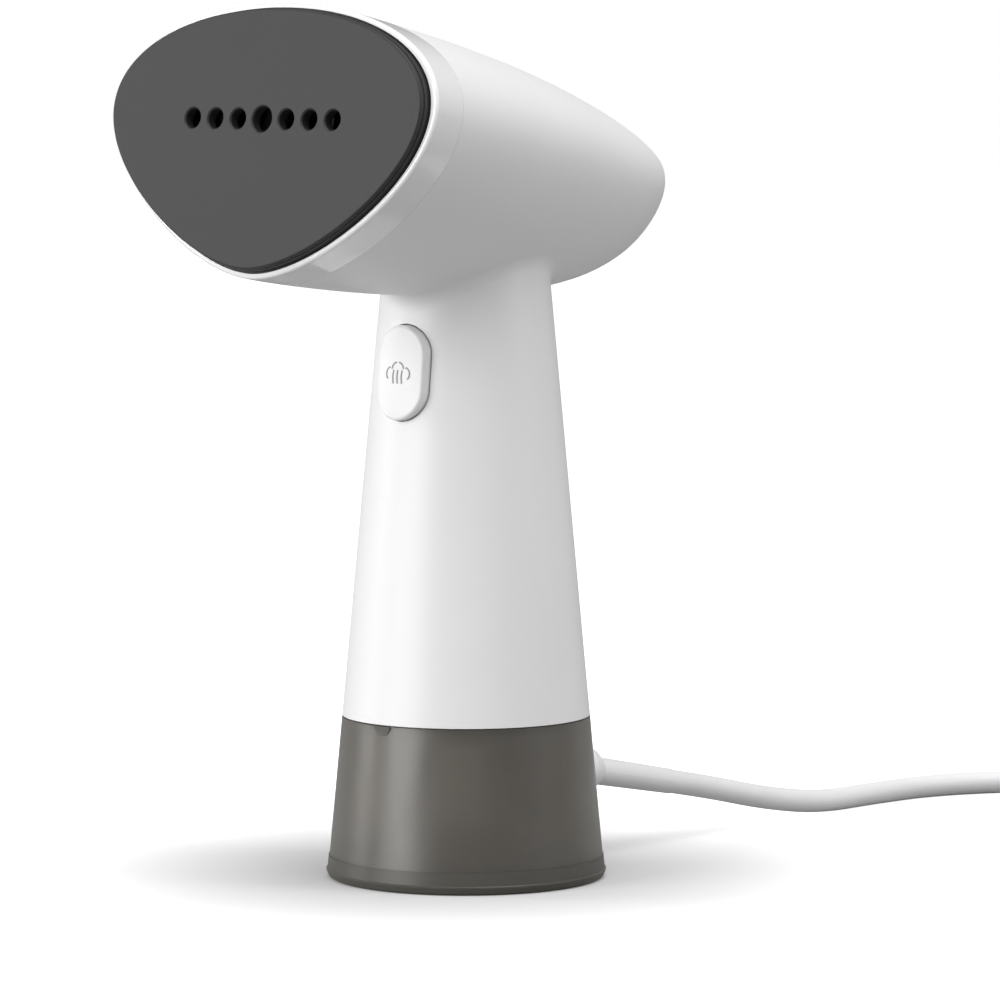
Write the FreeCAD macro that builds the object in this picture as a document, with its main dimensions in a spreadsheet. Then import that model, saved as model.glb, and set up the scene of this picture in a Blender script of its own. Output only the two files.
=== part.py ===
"""Handheld garment steamer: a parametric FreeCAD document, one solid piece per file.

Frame: millimetres, +Z up, the soleplate faces -Y and the mains lead leaves towards +Y.
The origin is the centre of the water tank's underside, on the surface it stands on.
"""
import FreeCAD, Part
import math
import os
import Sketcher

V = FreeCAD.Vector
X, Y, Z = V(1, 0, 0), V(0, 1, 0), V(0, 0, 1)

# Driving dimensions: alias, millimetres or degrees, what it is.
DIMENSIONS = [
    ("plate_forward", 77.5, "soleplate's centre hole, in front of the handle's axis"),
    ("plate_height", 200.3, "soleplate's centre hole above the table"),
    ("plate_tilt", 10.2, "degrees that the soleplate leans back"),
    ("plate_half_width", 53.0, "soleplate, from its centre line to its side"),
    ("plate_top", 28.1, "soleplate's top edge above its row of holes"),
    ("plate_bottom", 38.1, "soleplate's bottom edge below its row of holes"),
    ("plate_flange", 0.25, "step round the soleplate's side"),
    ("plate_thick", 5.5, "soleplate, front to back"),
    ("steam_pitch_inner", 8.3, "centre hole to the next one"),
    ("steam_pitch_outer", 7.9, "between the outer holes"),
    ("steam_radius_centre", 3.3, "centre steam hole"),
    ("steam_radius", 2.6, "other steam holes"),
    ("bezel_front", 3.0, "bezel's rim behind the soleplate's face"),
    ("bezel_depth", 12.5, "bezel band, front to back"),
    ("bezel_gap", 0.8, "bezel's mouth round the soleplate"),
    ("head_half_width", 55.8, "head at the bezel's rim"),
    ("head_top", 30.05, "head's crown above the row of holes, at the rim"),
    ("head_bottom", 40.2, "head's keel below the row of holes, at the rim"),
    ("head_length", 148.9, "rim to the tail's tip"),
    ("head_tail", 14.3, "tail's tip above the row of holes, along the soleplate's plane"),
    ("shell_wall", 2.2, "moulded casings"),
    ("neck_fillet", 4.0, "round between head and handle"),
    ("split_height", 42.5, "top of the tank"),
    ("split_radius", 32.7, "handle and tank where they meet"),
    ("cone_slope", 0.0917, "radius lost per millimetre of height"),
    ("fit_gap", 0.35, "air between neighbouring casings"),
    ("tank_wall", 2.0, "tank's wall"),
    ("tank_seam", 5.8, "top of the tank's base"),
    ("foot_radius", 36.95, "widest ring of the tank's base"),
    ("foot_ring", 2.1, "height of that ring"),
    ("spine_half_width", 12.0, "back spine beside the tank"),
    ("spine_front", 24.0, "spine's inner face behind the axis"),
    ("spine_bottom", 12.0, "spine's lower end above the table"),
    ("cover_half_width", 15.0, "back cover of the handle"),
    ("cover_top", 149.0, "back cover's round top end"),
    ("button_height", 134.0, "trigger button's centre"),
    ("button_half_width", 7.8, "trigger button"),
    ("button_half_length", 12.35, "trigger button"),
    ("button_proud", 2.5, "button's face above the handle"),
    ("stem_radius", 3.0, "trigger's stem"),
    ("running_fit", 0.06, "radial clearance of sliding pins"),
    ("pump_radius", 4.6, "pump's tube, outside"),
    ("plunger_radius", 3.0, "pump's plunger"),
    ("hose_radius", 2.4, "silicone hoses, outside"),
    ("cord_radius", 3.25, "mains lead"),
    ("gland_height", 23.6, "centre of the lead's swivel collar"),
    ("gland_back", 47.0, "centre of that collar behind the axis"),
    ("gland_radius", 6.3, "collar"),
    ("gland_droop", 10.9, "degrees that the collar and its sleeve point down"),
    ("sleeve_length", 38.0, "collar's centre to the sleeve's end"),
    ("coil_radius", 45.0, "outer turn of the stored lead, to the lead's centre"),
    ("coil_height", 20.0, "stored lead's three layers"),
    ("plug_half_width", 18.0, "moulded plug"),
    ("plug_half_thick", 12.2, "moulded plug"),
    ("pin_radius", 2.4, "plug's pins"),
    ("pin_spacing", 19.0, "plug's pins, centre to centre"),
]

doc = FreeCAD.newDocument("garment_steamer")
sheet = doc.addObject("Spreadsheet::Sheet", "sizes")
sheet.Label = "sizes"
for row, (alias, amount, note) in enumerate(DIMENSIONS, start=1):
    sheet.set(f"A{row}", note)
    sheet.set(f"B{row}", str(amount))
    sheet.setAlias(f"B{row}", alias)
doc.recompute()


class Size:
    """A length that remembers how it is worked out from the sheet."""

    def __init__(self, number, text):
        self.number, self.text = number, text

    def joined(self, other, sign, number):
        return Size(number, f"({self.text} {sign} {as_size(other).text})")

    def __add__(self, other):
        return self.joined(other, "+", self.number + as_size(other).number)

    def __sub__(self, other):
        return self.joined(other, "-", self.number - as_size(other).number)

    def __mul__(self, other):
        return self.joined(other, "*", self.number * as_size(other).number)

    def __neg__(self):
        return Size(-self.number, f"(0 - {self.text})")


def as_size(amount):
    return amount if isinstance(amount, Size) else Size(float(amount), repr(float(amount)))


def S(alias):
    return Size(float(sheet.get(alias)), f"<<sizes>>.{alias}")


def mm(alias):
    return float(sheet.get(alias))


def cone_radius(height, proud=0.0):
    """Outer radius of handle and tank, which share one straight cone."""
    return mm("split_radius") - mm("cone_slope") * (height - mm("split_height")) + proud


def cone_size(height):
    return S("split_radius") - S("cone_slope") * (as_size(height) - S("split_height"))


# The head's own frame: x sideways, y up along the soleplate, z out of its face.
HEAD = FreeCAD.Placement(V(0, -mm("plate_forward"), mm("plate_height")),
                         FreeCAD.Rotation(X, 90 - mm("plate_tilt")))
UPRIGHT = FreeCAD.Placement()
TURN_NONE = FreeCAD.Rotation()


# ---------------------------------------------------------------- document helpers
def plane_of(body, role):
    return [feature for feature in body.Origin.OriginFeatures if feature.Role == role][0]


def new_body(name, placement=UPRIGHT):
    body = doc.addObject("PartDesign::Body", name)
    body.Label = name
    body.Placement = placement
    return body


def new_sketch(body, name, role):
    sketch = body.newObject("Sketcher::SketchObject", name)
    sketch.AttachmentSupport = [(plane_of(body, role), "")]
    sketch.MapMode = "FlatFace"
    return sketch


def bind(sketch, kind, *where, size):
    size = as_size(size)
    index = sketch.addConstraint(Sketcher.Constraint(kind, *where, size.number))
    sketch.setExpression(f"Constraints[{index}]", size.text)


def add_outline(sketch, points):
    """A closed straight-sided outline whose corners are bound to the sheet."""
    corners = [(as_size(across), as_size(along)) for across, along in points]
    start = sketch.GeometryCount
    for index, (across, along) in enumerate(corners):
        next_across, next_along = corners[(index + 1) % len(corners)]
        sketch.addGeometry(Part.LineSegment(V(across.number, along.number, 0),
                                            V(next_across.number, next_along.number, 0)))
    for index, (across, along) in enumerate(corners):
        following = start + (index + 1) % len(corners)
        sketch.addConstraint(Sketcher.Constraint("Coincident", start + index, 2, following, 1))
        bind(sketch, "DistanceX", start + index, 1, size=across)
        bind(sketch, "DistanceY", start + index, 1, size=along)


def add_circle(sketch, across, along, radius):
    across, along, radius = as_size(across), as_size(along), as_size(radius)
    index = sketch.addGeometry(Part.Circle(V(across.number, along.number, 0), Z, radius.number))
    bind(sketch, "Radius", index, size=radius)
    bind(sketch, "DistanceX", index, 3, size=across)
    bind(sketch, "DistanceY", index, 3, size=along)


def turned(name, points, placement=UPRIGHT):
    """A piece turned about its own Z axis; points are (radius, height)."""
    body = new_body(name, placement)
    sketch = new_sketch(body, name + "_profile", "XZ_Plane")
    add_outline(sketch, points)
    turn = body.newObject("PartDesign::Revolution", name + "_turn")
    turn.Profile = sketch
    turn.ReferenceAxis = (sketch, ["V_Axis"])
    turn.Angle = 360
    return body


def extruded(name, draw, depth, placement=UPRIGHT):
    """A piece cut to the outline that draw(sketch) makes, depth thick."""
    body = new_body(name, placement)
    sketch = new_sketch(body, name + "_outline", "XY_Plane")
    draw(sketch)
    pad = body.newObject("PartDesign::Pad", name + "_pad")
    pad.Profile = sketch
    depth = as_size(depth)
    pad.Length = depth.number
    pad.setExpression("Length", depth.text)
    return body


def box_at(name, low, high):
    """A box between two corners, each given as sizes along X, Y and Z."""
    box = doc.addObject("Part::Box", name)
    for side, axis, bottom, top in zip(("Length", "Width", "Height"), "xyz", low, high):
        box.setExpression(side, (as_size(top) - bottom).text)
        box.setExpression(f"Placement.Base.{axis}", as_size(bottom).text)
    return box


def rod_at(name, start, direction, radius, length, placement=None):
    """A cylinder; with a placement, start and direction are in that frame."""
    rod = doc.addObject("Part::Cylinder", name)
    rod.setExpression("Radius", as_size(radius).text)
    rod.setExpression("Height", as_size(length).text)
    base = [as_size(amount) for amount in start]
    place = FreeCAD.Placement(V(*[amount.number for amount in base]), FreeCAD.Rotation(Z, V(*direction)))
    rod.Placement = placement.multiply(place) if placement else place
    if not placement:
        for axis, amount in zip("xyz", base):
            rod.setExpression(f"Placement.Base.{axis}", amount.text)
    return rod


def united(name, pieces):
    fuse = doc.addObject("Part::MultiFuse", name)
    fuse.Shapes = pieces
    fuse.Label = name
    return fuse


def without(name, base, tools):
    tool = tools[0] if len(tools) == 1 else united(name + "_tools", tools)
    cut = doc.addObject("Part::Cut", name)
    cut.Base, cut.Tool = base, tool
    cut.Label = name
    return cut


def shaped(name, shape, placement=UPRIGHT):
    """A free-form piece, given as a finished shape."""
    feature = doc.addObject("Part::Feature", name)
    feature.Shape = shape
    feature.Placement = placement
    feature.Label = name
    return feature


def rod(start, direction, radius, length):
    return Part.makeCylinder(radius, length, V(*start), V(*direction))


def block(low, high):
    return Part.makeBox(*[top - bottom for bottom, top in zip(low, high)], V(*low))


def cone_solid(low, high, proud=0.0):
    return Part.makeCone(cone_radius(low, proud), cone_radius(high, proud), high - low, V(0, 0, low))


def bent_path(points, radius_of, report=None):
    """Straight runs joined by tangent arcs, as one wire."""
    edges, here = [], points[0]
    for before, corner, after in zip(points, points[1:], points[2:]):
        into, out = (corner - before), (after - corner)
        shorter = min(into.Length, out.Length)
        into.normalize()
        out.normalize()
        turn = into.getAngle(out)
        radius = radius_of(turn, shorter)
        if report is not None:
            report.append(radius)
        reach = radius * math.tan(turn / 2)
        start, end = corner - into * reach, corner + out * reach
        inward = out - into
        inward.normalize()
        middle = corner + inward * (radius / math.cos(turn / 2) - radius)
        if (start - here).Length > 1e-6:
            edges.append(Part.LineSegment(here, start).toShape())
        edges.append(Part.Arc(start, middle, end).toShape())
        here = end
    edges.append(Part.LineSegment(here, points[-1]).toShape())
    return Part.Wire(edges)


def sweep(path, radius):
    first = path.Edges[0]
    start = first.valueAt(first.FirstParameter)
    heading = first.tangentAt(first.FirstParameter)
    ring = Part.Wire(Part.makeCircle(radius, start, heading))
    return path.makePipeShell([ring], True, False)


# ---------------------------------------------------------------- the head's shape
def egg_points(half_width, top, bottom, depth):
    """Points round the rounded-triangle outline of the head, wide above and narrow below."""
    widest = bottom + (top - bottom) * 0.616
    shoulder, jaw = widest + 0.597 * (top - widest), widest - 0.449 * (widest - bottom)
    quarters = [
        [(0, top), (0.566 * half_width, top), (half_width, shoulder), (half_width, widest)],
        [(half_width, widest), (half_width, jaw), (0.359 * half_width, bottom), (0, bottom)],
    ]
    steps = 7
    right = []
    for corners in quarters:
        curve = Part.BezierCurve()
        curve.setPoles([V(across, along, depth) for across, along in corners])
        right += [curve.value(step / steps) for step in range(steps)]
    lowest = V(0, bottom, depth)
    left = [V(-point.x, point.y, point.z) for point in reversed(right[1:])]
    return right + [lowest] + left


def egg_wire(half_width, top, bottom, depth):
    curve = Part.BSplineCurve()
    curve.interpolate(Points=egg_points(half_width, top, bottom, depth), PeriodicFlag=True)
    return Part.Wire(curve.toShape())


def plate_prism(grow, front, back):
    """A slab with the soleplate's outline, larger by grow all round, between two depths."""
    outline = egg_wire(mm("plate_half_width") + grow, mm("plate_top") + grow,
                       -mm("plate_bottom") - grow, -back)
    return Part.Face(outline).extrude(V(0, 0, back - front))


def inner_prism(half_width, top, bottom, front, back):
    return Part.Face(egg_wire(half_width, top, -bottom, -back)).extrude(V(0, 0, back - front))


def head_section(along, inset):
    """The head's outline at a share of its length, and how deep that is."""
    tail = mm("head_tail")
    half_width = mm("head_half_width") * (1 - along) ** 0.478
    top = tail + (mm("head_top") - tail) * (1 - along ** 2.562) ** 0.915
    bottom = tail - (mm("head_bottom") + tail) * (1 - along ** 1.56) ** 0.30
    depth = mm("bezel_front") + along * mm("head_length")
    return half_width - inset, top - inset, bottom + inset, -depth


def head_solid(inset, narrowest):
    """Loft of the head's skin, moved in by inset, back to its narrowest section."""
    sections, share = [], 1.0
    while share > narrowest:
        along = 1 - share ** (1 / 0.478)
        sections.append(egg_wire(*head_section(along, inset)))
        share -= 0.07 if share > 0.75 else 0.1
    if inset == 0:
        depth = mm("bezel_front") + mm("head_length")
        sections.append(Part.Vertex(V(0, mm("head_tail") - 4, -depth)))
    return Part.makeLoft(sections, True, False, False)


def slab(front, back):
    """Everything of the head between two depths behind the soleplate's face."""
    reach = 120
    return block((-reach, -reach, -back), (reach, reach, -front))


head_skin = head_solid(0.0, 0.1)
head_inside = head_solid(mm("shell_wall"), 0.22)
parting = mm("bezel_front") + mm("bezel_depth")


# ---------------------------------------------------------------- casings
def pill(half_width, half_length, front, back):
    """A slot-shaped prism along Y round the button's centre."""
    centre, straight = mm("button_height"), half_length - half_width
    middle = block((-half_width, front, centre - straight), (half_width, back, centre + straight))
    ends = [rod((0, front, centre + side * straight), Y, half_width, back - front) for side in (-1, 1)]
    return middle.fuse(ends).removeSplitter()


def on_cone(edge, proud=0.0):
    """Whether an edge's ends and middle lie on the handle's cone."""
    middle = edge.valueAt((edge.FirstParameter + edge.LastParameter) / 2)
    places = [vertex.Point for vertex in edge.Vertexes] + [middle]
    return all(abs(math.hypot(place.x, place.y) - cone_radius(place.z, proud)) < 0.02 for place in places)


def junction_edges(shape):
    """The edges where the handle's cone runs into the head."""
    return [edge for edge in shape.Edges
            if on_cone(edge) and all(145 < vertex.Z < 172 for vertex in edge.Vertexes)]


def whole_housing():
    """Head behind the bezel and handle above the tank, before it is opened."""
    inside_top = 176.0
    low = mm("split_height") + mm("fit_gap")
    head_back = head_skin.common(slab(parting, 300))
    head_back.Placement = HEAD
    outer = head_back.fuse(cone_solid(low, inside_top))
    outer = outer.makeFillet(mm("neck_fillet"), junction_edges(outer))
    hollow = head_inside.common(slab(parting - 2, 300))
    hollow.Placement = HEAD
    bore = cone_solid(low - 1, inside_top - 1, -mm("shell_wall"))
    return outer.cut(hollow).cut(bore)


HALF_BACK = 60.0              # reach of cutting blocks behind the handle
COVER_SCREWS = (70.0, 118.0)  # heights
BOARD_SCREWS = (125.0, 148.0) # heights
CAP_SCREWS = (-8.0, 8.0)      # sideways
SUCTION_PORT = -17.0          # along Y
HOSE_SOCKET = 2.45            # radius of the sockets that hoses are pushed into


def cover_outline(half_width, top, bottom):
    """The back cover's outline seen from behind: straight sides and a round top."""
    centre = top - half_width
    strip = block((-half_width, 5, bottom), (half_width, HALF_BACK, centre))
    return strip.fuse(rod((0, 5, centre), Y, half_width, HALF_BACK - 5))


def cover_screw_seats():
    """Height of each back-cover screw and the skin's radius there."""
    return [(height, cone_radius(height)) for height in COVER_SCREWS]


def main_housing():
    gap = mm("fit_gap")
    opening = cover_outline(mm("cover_half_width") + gap / 2, mm("cover_top") + gap / 2, 30)
    slot = pill(mm("button_half_width") + gap, mm("button_half_length") + gap, -45, -12)
    return whole_housing().cut(opening).cut(slot)


def rear_cover():
    """Back cover of the handle with the spine that runs down behind the tank."""
    gap, wall = mm("fit_gap"), mm("shell_wall")
    low, high, half = mm("spine_bottom"), mm("cover_top"), mm("cover_half_width")
    join = mm("split_height") + gap
    skin = cone_solid(join, high).cut(cone_solid(join - 1, high + 1, -wall))
    skin = skin.common(cover_outline(half, high, join - 1))
    tongue = cone_solid(join + 4, high + 1.5, -wall - 0.1).cut(cone_solid(join + 3, high + 2, -wall - 1.2))
    tongue = tongue.common(cover_outline(half + 1.5, high + 1.5, join + 3))
    tongue = tongue.cut(cover_outline(half - 1.8, high - 1.8, join + 2))
    link = cone_solid(join + 4, high, -wall + 0.2).cut(cone_solid(join + 3, high + 2, -wall - 1.2))
    link = link.common(cover_outline(half - 0.3, high - 0.3, join + 3))
    link = link.cut(cover_outline(half - 1.8, high - 1.8, join + 2))
    wide, front = mm("spine_half_width"), mm("spine_front")
    spine = cone_solid(low, join + 3).common(block((-wide, front, low), (wide, HALF_BACK, join + 3)))
    cavity = cone_solid(low + 2, join + 4, -wall)
    cavity = cavity.common(block((-wide + 2, front + 2, low + 2), (wide - 2, HALF_BACK, join + 4)))
    height, back = mm("gland_height"), mm("gland_back")
    boss = rod((0, front + 4, height), Y, 7.0, back - 3 - front - 4)
    bore = rod((0, front + 3, height), Y, 5.2, back - front)
    socket = Part.makeSphere(mm("gland_radius") + 0.05, V(0, back, height))
    cover = skin.fuse([tongue, link, spine, boss]).cut(cavity).cut(bore).cut(socket)
    for seat, radius in cover_screw_seats():
        cover = cover.cut(rod((0, 10, seat), Y, 1.6, HALF_BACK))
        cover = cover.cut(rod((0, radius - 1.2, seat), Y, 3.0, 10))
    return cover


def front_bezel():
    """Glossy band round the soleplate, with a shelf behind the gasket and a snap lip."""
    front, back = mm("bezel_front"), parting - 0.1
    band = head_skin.common(slab(front, back))
    rim = [edge for edge in band.Edges if all(abs(vertex.Z + front) < 1e-3 for vertex in edge.Vertexes)
           and edge.Closed]
    band = band.makeFillet(0.9, rim)
    shelf_front, shelf_back = 7.5, 9.5
    band = band.cut(plate_prism(mm("bezel_gap"), front - 1, shelf_front))
    band = band.cut(plate_prism(-3.5, shelf_front - 1, shelf_back + 1))
    band = band.cut(head_inside.common(slab(shelf_back, back + 1)))
    lip = head_solid(mm("shell_wall") + 0.1, 0.8).cut(head_solid(mm("shell_wall") + 1.4, 0.8))
    lip = lip.common(slab(shelf_back, parting + 3))
    bosses = [rod((across, up, -shelf_back), Z, 3.4, 2.0) for across, up in BEZEL_SCREWS]
    pilots = [rod((across, up, -shelf_back - 1), Z, 1.35, 2.4) for across, up in BEZEL_SCREWS]
    return band.fuse([lip] + bosses).cut(Part.makeCompound(pilots))


def steam_holes():
    """Places and radii of the row of seven holes."""
    inner, outer = mm("steam_pitch_inner"), mm("steam_pitch_outer")
    holes = [(0.0, mm("steam_radius_centre"))]
    for side in (-1, 1):
        holes += [(side * (inner + step * outer), mm("steam_radius")) for step in range(3)]
    return holes


def steam_plate():
    thick, step, lead = mm("plate_thick"), 1.4, 0.35
    plate = plate_prism(0.0, 0.0, step)
    rim = [edge for edge in plate.Edges if all(abs(vertex.Z) < 1e-3 for vertex in edge.Vertexes)
           and edge.Closed]
    plate = plate.makeFillet(0.5, rim).fuse(plate_prism(mm("plate_flange"), step, thick))
    plate = plate.cut(plate_prism(-6.0, 3.0, thick + 1))
    for across, radius in steam_holes():
        plate = plate.cut(rod((across, 0, -4), Z, radius, 5))
        plate = plate.cut(Part.makeCone(radius, radius + lead, lead, V(across, 0, -lead)))
    return plate


def plate_gasket():
    ring = plate_prism(mm("bezel_gap"), 3.3, 7.5)
    return ring.cut(plate_prism(mm("plate_flange"), 3, mm("plate_thick"))).cut(plate_prism(-3.0, 3, 9))


CHAMBER = (38.0, 19.0, 27.0)               # half width, top and bottom of the die-casting
CHAMBER_EARS = [(-43.0, 6.0), (43.0, 6.0), (-23.0, -25.0), (23.0, -25.0)]
BEZEL_SCREWS = [(-22.0, 21.2), (22.0, 21.2), (-36.4, -16.2), (36.4, -16.2)]


def chamber_outline(grow, front, back):
    half, top, bottom = (amount + grow for amount in CHAMBER)
    return inner_prism(half, top, bottom, front, back)


def steam_chamber():
    """Die-cast block with a maze of ribs between its water inlet and the soleplate."""
    cast = chamber_outline(0.0, 3.8, 24.0)
    for across, up in CHAMBER_EARS:
        inward = 0.8 if abs(across) > 40 else 0.7
        ear = rod((across, up, -14.2), Z, 4.0, 2.0)
        start, end = sorted((across * inward, across))
        arm = block((start, up - 4, -14.2), (end, up + 4, -12.2))
        cast = cast.fuse([ear, arm])
    cavity = chamber_outline(-3.5, 3.0, 18.0)
    ribs = []
    for across, low, high in ((-18.0, -40, 6), (0.0, -18, 40), (18.0, -40, 6)):
        ribs.append(block((across - 1.5, low, -18.0), (across + 1.5, high, -5.5)))
    cast = cast.cut(cavity.cut(Part.makeCompound(ribs)))
    cast = cast.cut(rod((0, 13, -26), Z, 1.5, 10))
    for across, up in CHAMBER_EARS:
        cast = cast.cut(rod((across, up, -15), Z, 1.5, 4))
    return cast


def chamber_seal():
    return chamber_outline(0.0, 3.0, 3.8).cut(chamber_outline(-3.5, 2, 5))


def chamber_frame():
    """Heat-resistant ring that carries the chamber behind the bezel's shelf."""
    ring = plate_prism(-2.5, 9.6, 12.1).cut(chamber_outline(0.7, 9, 13))
    holes = [rod((across, up, -13), Z, 1.35, 4) for across, up in CHAMBER_EARS]
    holes += [rod((across, up, -13), Z, 1.6, 4) for across, up in BEZEL_SCREWS]
    return ring.cut(Part.makeCompound(holes))


def screws(places, head_radius, head_height, shaft_radius, shaft_length, direction):
    """A group of equal screws; each place is where its head meets the clamped face."""
    way = V(*direction)
    group = []
    for place in places:
        head = Part.makeCylinder(head_radius, head_height, V(*place) - way * head_height, way)
        cross = Part.makeBox(2.6, 0.7, 0.8, V(-1.3, -0.35, 0))
        other = Part.makeBox(0.7, 2.6, 0.8, V(-0.35, -1.3, 0))
        drive = cross.fuse(other)
        drive.Placement = FreeCAD.Placement(V(*place) - way * (head_height + 0.01), FreeCAD.Rotation(Z, way))
        shaft = Part.makeCylinder(shaft_radius, shaft_length, V(*place), way)
        group.append(head.cut(drive).fuse(shaft))
    return Part.makeCompound(group)


def heating_element():
    """U-shaped tubular element lying on the back of the chamber."""
    radius, depth, leg, top = 3.2, -27.2, 22.0, 14.0
    path = Part.Wire([Part.LineSegment(V(leg, top, depth), V(leg, 0, depth)).toShape(),
                      Part.Arc(V(leg, 0, depth), V(0, -leg, depth), V(-leg, 0, depth)).toShape(),
                      Part.LineSegment(V(-leg, 0, depth), V(-leg, top, depth)).toShape()])
    return sweep(path, radius)


def route_radius(turn, shorter):
    """Largest arc that two runs leave room for."""
    return 0.45 * shorter / math.tan(turn / 2)


def hose(points, radius):
    return sweep(bent_path([V(*point) for point in points], route_radius), radius)


def in_head(across, up, depth):
    place = HEAD.multVec(V(across, up, -depth))
    return (place.x, place.y, place.z)


def outlet_hose():
    """Silicone hose from the pump's top to the chamber's water inlet."""
    points = [(0, 0, 110), (0, 0, 115), (5, 9, 120), (5, 9, 158), (3, 0, 194),
              in_head(0, 13, 48), in_head(0, 13, 30)]
    return hose(points, mm("hose_radius"))


def heater_leads():
    """Two insulated wires from the board to the element's pins."""
    wires = []
    for side in (-1, 1):
        points = [(side * 4, -2.2, 151), (side * 6, -2, 172), (side * 14, -14, 196),
                  in_head(side * 22, 21.6, 44), in_head(side * 22, 21.6, 27)]
        wires.append(hose(points, 0.9))
    return Part.makeCompound(wires)


def inner_lead():
    """Mains lead inside the spine and the handle, from the collar to the board."""
    points = [(0, 37.7, 25.4), (0, 31.0, 25.8), (-0.5, 28.9, 32), (-1, 28.6, 42), (-3, 27.3, 52),
              (-6.5, 22, 66), (-6.5, 20.5, 92), (-6.5, 12, 103), (-6.5, 1, 110), (-6.5, -0.2, 118.6)]
    return hose(points, 1.9)


def chassis():
    """Plastic spine inside the handle that carries pump, board and trigger frame."""
    half, front, back, low = 12, 14, 16, 46.5
    solid = [box_at("chassis_back", (-half, front, low), (half, back, 150)),
             box_at("chassis_foot", (-half, 7, low), (half, back, low + 4.5))]
    holes = [box_at("chassis_window", (-10, front - 1, 94), (-3, back + 1, 110))]
    for index, height in enumerate(COVER_SCREWS):
        skin = cone_size(height) - S("shell_wall")
        solid.append(rod_at(f"cover_boss_{index}", (0, back, height), (0, 1, 0), 3.2, skin - back - 0.9))
        holes.append(rod_at(f"cover_pilot_{index}", (0, 10, height), (0, 1, 0), 1.35, 20))
    for index, height in enumerate(BOARD_SCREWS):
        solid.append(rod_at(f"board_post_{index}", (-6, 0.6, height), (0, 1, 0), 2.0, 13.6))
        holes.append(rod_at(f"board_pilot_{index}", (-6, 0, height), (0, 1, 0), 1.05, 12))
    for index, across in enumerate(CAP_SCREWS):
        holes.append(rod_at(f"cap_pilot_{index}", (across, 11.5, low - 0.5), (0, 0, 1), 1.35, 4.5))
    return without("chassis", united("chassis_solid", solid), holes)


D_FLAT = 21.6                 # chord of the tank's mouth, in front of the spine's channel
LAND_RADIUS, LAND_DEPTH = 29.3, 2.2


def d_prism(radius, flat, low, high):
    """A disc with one flat side towards the spine."""
    disc = rod((0, 0, low), Z, radius, high - low)
    return disc.common(block((-radius - 1, -radius - 1, low), (radius + 1, flat, high)))


def base_cap():
    """Bottom of the handle and stopper of the tank, with the suction port."""
    low, join = mm("split_height"), mm("split_height") + mm("fit_gap")
    plate_top = join + 3.2
    plate = rod((0, 0, join + 0.2), Z, cone_radius(plate_top) - mm("shell_wall") - 0.15, 3.0)
    plate = plate.cut(block((-14, mm("spine_front") - 0.3, low - 1), (14, HALF_BACK, plate_top + 1)))
    skirt = d_prism(LAND_RADIUS - 0.4, D_FLAT - 0.4, low - 4.5, join + 0.2)
    skirt = skirt.cut(d_prism(LAND_RADIUS - 2.6, D_FLAT - 2.6, low - 6, join + 0.2))
    groove = d_prism(LAND_RADIUS + 1, D_FLAT + 1, low - 1.9, low - 0.5)
    groove = groove.cut(d_prism(LAND_RADIUS - 1.4, D_FLAT - 1.4, low - 2, low))
    port = rod((0, SUCTION_PORT, low - 7.5), Z, 2.9, 14.5)
    cap = plate.fuse([skirt, port]).cut(groove)
    cap = cap.cut(rod((0, SUCTION_PORT, low - 9), Z, 1.4, 18))
    for start, depth in ((low - 9, 4.5), (low + 3.5, 5)):
        cap = cap.cut(rod((0, SUCTION_PORT, start), Z, HOSE_SOCKET, depth))
    for across in CAP_SCREWS:
        cap = cap.cut(rod((across, 11.5, low - 1), Z, 1.6, 8))
    return cap


def tank_seal():
    low = mm("split_height")
    ring = d_prism(LAND_RADIUS - 0.15, D_FLAT - 0.15, low - 1.8, low - 0.6)
    return ring.cut(d_prism(LAND_RADIUS - 1.4, D_FLAT - 1.4, low - 2, low))


def inlet_hose():
    """Hose between the cap's port and the pump's inlet."""
    low = mm("split_height")
    points = [(0, SUCTION_PORT, low + 3.5), (0, SUCTION_PORT, low + 8.5), (0, SUCTION_PORT + 6, low + 12.5),
              (0, -1.5, low + 13.5), (0, 0, low + 19.5)]
    return hose(points, mm("hose_radius"))


def suction_hose():
    """Limp hose that hangs from the port towards the tank's front corner."""
    low = mm("split_height")
    points = [(0, SUCTION_PORT, low - 4.5), (0, SUCTION_PORT, low - 14), (0, SUCTION_PORT - 3.4, low - 22),
              (0, SUCTION_PORT - 6.2, low - 28)]
    return hose(points, mm("hose_radius"))


def tank_shell():
    """Smoked tank with a thick sealing rim and a channel for the spine."""
    low, high, wall = mm("tank_seam"), mm("split_height"), mm("tank_wall")
    wide, front, gap = mm("spine_half_width"), mm("spine_front"), mm("fit_gap")
    slot_floor = mm("spine_bottom") - 2 * gap
    inside = cone_solid(low, high - LAND_DEPTH, -wall)
    channel = block((-wide - gap - wall, D_FLAT, slot_floor - wall),
                    (wide + gap + wall, HALF_BACK, high + 1))
    mouth = d_prism(LAND_RADIUS, D_FLAT, high - LAND_DEPTH, high + 1)
    slot = block((-wide - gap, front - gap, slot_floor), (wide + gap, HALF_BACK, high + 1))
    shell = cone_solid(low, high).cut(inside.cut(channel)).cut(mouth).cut(slot)
    radius = cone_radius(high)
    tab = rod((0, -radius - 0.45, high + 0.2), Y, 2.7, 3)
    tab = tab.common(block((-4, -radius - 1, high - 4), (4, -LAND_RADIUS - 0.5, high)))
    return shell.fuse(tab)


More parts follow.
